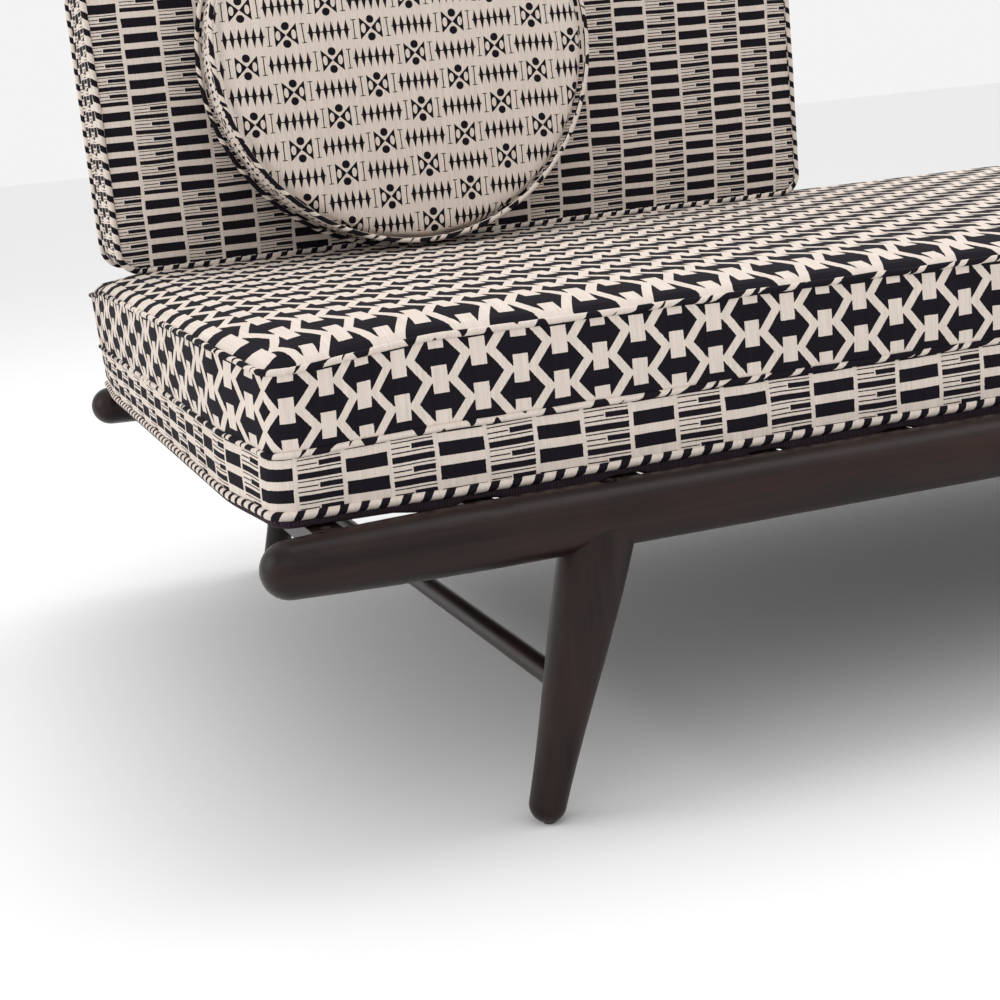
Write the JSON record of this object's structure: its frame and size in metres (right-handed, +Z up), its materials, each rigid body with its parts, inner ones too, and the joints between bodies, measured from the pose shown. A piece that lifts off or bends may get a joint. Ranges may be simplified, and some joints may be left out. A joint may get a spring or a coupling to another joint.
{
  "type": "daybed",
  "caption": "Daybed with turned rails, raked tapered legs, a slatted base, a boxed mattress in printed cloth, an upright back cushion and a round cushion.",
  "frame": {"origin": "on the floor, under the middle of the daybed seen from above", "axes": "+X along the rails towards the end with no back cushion, +Y from the front rail to the back rail, +Z up"},
  "size_m": [2, 1.065, 0.8663],
  "materials": {
    "dark_wood": "satin, near-black stain with a little grain showing",
    "steel": "zinc-plated",
    "insert_brass": "plain",
    "glide": "matte",
    "arrow_print": "ribbed cloth, cream and near-black arrow lattice",
    "bar_print": "ribbed cloth, cream and near-black bars in columns",
    "spindle_print": "ribbed cream cloth, small near-black spindles, crosses and dots",
    "stripe_welt": "bias-cut cream and near-black stripe",
    "dark_twill": "dark herringbone twill",
    "foam": "open-cell foam under wadding",
    "zip": "matte nylon coil and tape"
  },
  "bodies": {
    "frame": {"rail_front": "dark_wood", "rail_back": "dark_wood", "leg_front_left": "dark_wood", "leg_front_right": "dark_wood", "leg_back_left": "dark_wood", "leg_back_right": "dark_wood", "glide_front_left": "glide", "glide_front_right": "glide", "glide_back_left": "glide", "glide_back_right": "glide", "stretcher_left": "dark_wood", "stretcher_right": "dark_wood", "slat_01": "dark_wood", "slat_02": "dark_wood", "slat_03": "dark_wood", "slat_04": "dark_wood", "slat_05": "dark_wood", "slat_06": "dark_wood", "slat_07": "dark_wood", "slat_08": "dark_wood", "slat_09": "dark_wood", "slat_10": "dark_wood", "slat_11": "dark_wood", "slat_12": "dark_wood", "slat_13": "dark_wood", "slat_14": "dark_wood", "slat_15": "dark_wood", "slat_16": "dark_wood", "slat_screws": "steel", "leg_bolts": "steel", "leg_inserts": "insert_brass", "back_post_left": "dark_wood", "back_post_right": "dark_wood", "back_board_lower": "dark_wood", "back_board_upper": "dark_wood", "back_board_screws": "steel", "back_post_bolts": "steel"},
    "mattress": {"mattress_core": "foam", "mattress_underside": "dark_twill", "mattress_lower_band": "bar_print", "mattress_upper_band": "arrow_print", "mattress_top": "arrow_print", "mattress_bottom_welt": "stripe_welt", "mattress_middle_welt": "arrow_print", "mattress_top_welt": "arrow_print", "mattress_zip": "zip"},
    "back_cushion": {"back_cushion_core": "foam", "back_cushion_back": "bar_print", "back_cushion_front": "bar_print", "back_cushion_band": "bar_print", "back_cushion_back_welt": "stripe_welt", "back_cushion_front_welt": "stripe_welt", "back_cushion_zip": "zip"},
    "round_cushion": {"round_cushion_core": "foam", "round_cushion_back": "spindle_print", "round_cushion_front": "spindle_print", "round_cushion_band": "spindle_print", "round_cushion_back_welt": "arrow_print", "round_cushion_front_welt": "arrow_print"}
  },
  "joints": [
    {"name": "mattress_lift", "type": "slide", "parent": "frame", "child": "mattress", "axis": [0, 0, 1], "range_m": [0, 0.3]},
    {"name": "back_cushion_lift", "type": "slide", "parent": "mattress", "child": "back_cushion", "axis": [0, 0, 1], "range_m": [0, 0.5]},
    {"name": "round_cushion_lift", "type": "slide", "parent": "mattress", "child": "round_cushion", "axis": [0, 0, 1], "range_m": [0, 0.5]}
  ]
}
